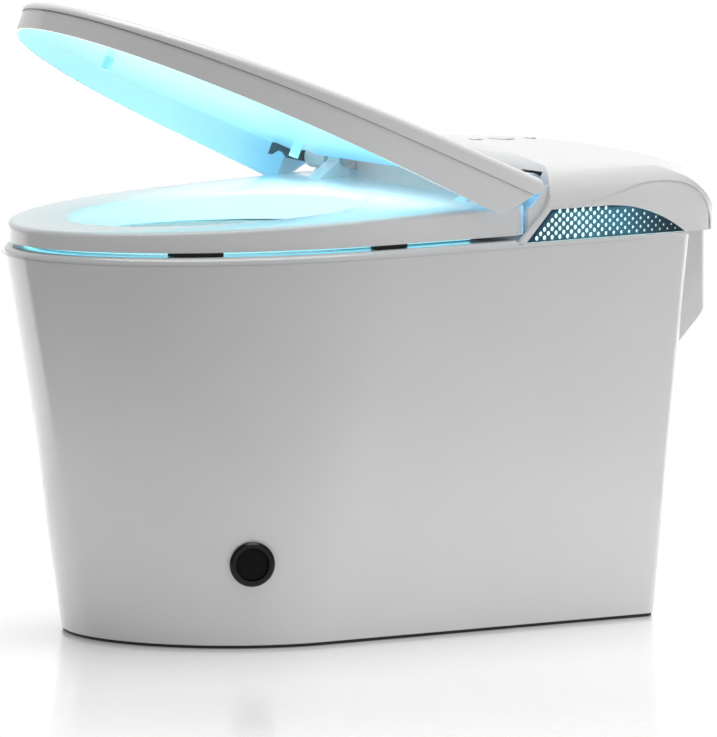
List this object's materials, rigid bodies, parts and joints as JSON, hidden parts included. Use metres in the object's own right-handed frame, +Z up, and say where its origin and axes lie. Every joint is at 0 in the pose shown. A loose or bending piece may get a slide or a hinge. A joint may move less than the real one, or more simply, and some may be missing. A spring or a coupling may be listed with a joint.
{
  "type": "electric bidet toilet",
  "caption": "One-piece electric bidet toilet: glazed pan, heated seat on a lit rim, arched hinged lid, rear housing with side grilles and top buttons, sliding wash wands and a foot switch.",
  "frame": {"origin": "centre of the footprint on the floor, under the middle of the bounding box", "axes": "-Y is the front of the pan, +Y the wall behind it, +X the user's left when seated, +Z up from the floor"},
  "size_m": [0.3986, 0.7168, 0.6367],
  "materials": {
    "glazed_white": "glazed",
    "white_gloss": "polished",
    "pale_satin": "satin",
    "grille_teal": "satin",
    "cyan_light": "frosted",
    "black_rubber": "matt",
    "black_gloss": "polished",
    "bright_metal": "polished",
    "button_white": "polished",
    "grey_plastic": "moulded",
    "steel": "brushed",
    "brass_plain": "turned",
    "board_green": "lacquered",
    "foil": "foil"
  },
  "bodies": {
    "pan": {"bowl_light": "cyan_light", "button_bezel": "bright_metal", "ceramic_pan": "glazed_white", "control_board": "board_green", "cord_gland": "black_gloss", "dryer_housing": "grey_plastic", "floor_seal": "black_rubber", "flush_pump": "grey_plastic", "flush_tank": "grey_plastic", "grille_glow_left": "cyan_light", "grille_glow_right": "cyan_light", "hinge_block_left": "pale_satin", "hinge_block_right": "pale_satin", "hinge_pins": "steel", "inlet_nipple": "brass_plain", "inlet_valve": "grey_plastic", "kick_bezel": "black_gloss", "kick_switch": "grey_plastic", "lid_drive": "grey_plastic", "outlet_seal": "black_rubber", "panel_board": "board_green", "power_module": "grey_plastic", "rear_cover": "white_gloss", "seat_drive": "grey_plastic", "side_grille_left": "grille_teal", "side_grille_right": "grille_teal", "side_trim_left": "pale_satin", "side_trim_right": "pale_satin", "tray": "grey_plastic", "tray_bolts": "steel", "tray_nuts": "steel", "wand_guide": "grey_plastic", "wand_motors": "steel", "wash_pump": "grey_plastic", "wash_valve": "grey_plastic", "water_heater": "steel"},
    "seat": {"seat_skin": "white_gloss", "seat_plate": "pale_satin", "seat_heater": "foil", "seat_pads": "black_rubber", "seat_glow": "cyan_light"},
    "lid": {"lid_skin": "white_gloss", "lid_band": "white_gloss", "lid_liner": "pale_satin", "lid_arms": "grey_plastic", "lid_stops": "pale_satin"},
    "kick": {"kick_button": "black_gloss"},
    "wash_key": {"wash_button": "button_white"},
    "flush_key": {"flush_button": "button_white"},
    "dry_key": {"dry_button": "button_white"},
    "rear_wand_body": {"rear_wand": "steel"},
    "front_wand_body": {"front_wand": "steel"},
    "rear_gear": {"rear_pinion": "grey_plastic"},
    "front_gear": {"front_pinion": "grey_plastic"},
    "fan": {"dryer_impeller": "grey_plastic"},
    "flap": {"dryer_flap": "grey_plastic"}
  },
  "joints": [
    {"name": "seat_hinge", "type": "hinge", "parent": "pan", "child": "seat", "pos_m": [0, 0.1093, 0.444], "axis": [-1, 0, 0], "range_deg": [0, 80]},
    {"name": "lid_hinge", "type": "hinge", "parent": "seat", "child": "lid", "pos_m": [0, 0.1093, 0.444], "axis": [1, 0, 0], "range_deg": [-80, 24.5]},
    {"name": "kick_press", "type": "slide", "parent": "pan", "child": "kick", "axis": [-0.8956, 0.4397, 0.0677], "range_m": [0, 0.004], "stiffness_N_per_m": 800},
    {"name": "wash_press", "type": "slide", "parent": "pan", "child": "wash_key", "axis": [0, 0, -1], "range_m": [0, 0.0018], "stiffness_N_per_m": 900},
    {"name": "flush_press", "type": "slide", "parent": "pan", "child": "flush_key", "axis": [0, 0, -1], "range_m": [0, 0.0018], "stiffness_N_per_m": 900},
    {"name": "dry_press", "type": "slide", "parent": "pan", "child": "dry_key", "axis": [0, 0, -1], "range_m": [0, 0.0018], "stiffness_N_per_m": 900},
    {"name": "rear_wand_slide", "type": "slide", "parent": "pan", "child": "rear_wand_body", "axis": [0, -0.9848, -0.1736], "range_m": [0, 0.09]},
    {"name": "front_wand_slide", "type": "slide", "parent": "pan", "child": "front_wand_body", "axis": [0, -0.9848, -0.1736], "range_m": [0, 0.09]},
    {"name": "rear_gear_turn", "type": "hinge", "parent": "pan", "child": "rear_gear", "pos_m": [0.013, 0.18066, 0.39653], "axis": [-1, 0, 0], "range_deg": [-5, 745]},
    {"name": "front_gear_turn", "type": "hinge", "parent": "pan", "child": "front_gear", "pos_m": [-0.013, 0.18066, 0.39653], "axis": [-1, 0, 0], "range_deg": [-5, 745]},
    {"name": "fan_spin", "type": "hinge", "parent": "pan", "child": "fan", "pos_m": [0.091, 0.116, 0.362], "axis": [1, 0, 0], "continuous": true},
    {"name": "flap_swing", "type": "hinge", "parent": "pan", "child": "flap", "pos_m": [0.08, 0.0434, 0.3864], "axis": [-1, 0, 0], "range_deg": [0, 65]}
  ],
  "couplings": [
    {"joint": "rear_gear_turn", "follows": "rear_wand_slide", "rad_per_m": 142.86},
    {"joint": "front_gear_turn", "follows": "front_wand_slide", "rad_per_m": 142.86}
  ]
}
